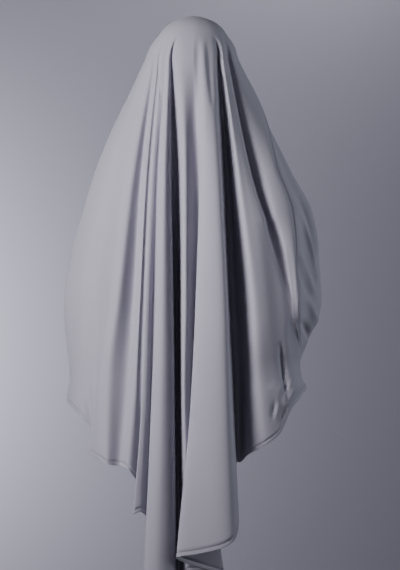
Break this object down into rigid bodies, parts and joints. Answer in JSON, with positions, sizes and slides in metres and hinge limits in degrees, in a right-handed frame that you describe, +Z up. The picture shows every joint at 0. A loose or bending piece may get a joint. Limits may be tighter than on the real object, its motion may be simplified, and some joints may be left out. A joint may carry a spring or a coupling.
{
  "type": "instant hijab",
  "caption": "Long two-panel cape for the head and shoulders, with an oval opening for the face, deep folds down the back, a pointed tail and a turned hem.",
  "frame": {"origin": "inside of the crown, where the cloth bears on the top of the head", "axes": "+Z up, +Y the way that the wearer faces, +X the wearer's right"},
  "size_m": [0.5701, 0.3824, 1.292],
  "materials": {
    "cloth": "matte"
  },
  "bodies": {
    "root": {"back_panel": "cloth", "front_panel": "cloth", "panel_seam": "cloth", "back_hem": "cloth", "front_hem": "cloth", "face_band": "cloth"}
  },
  "joints": []
}
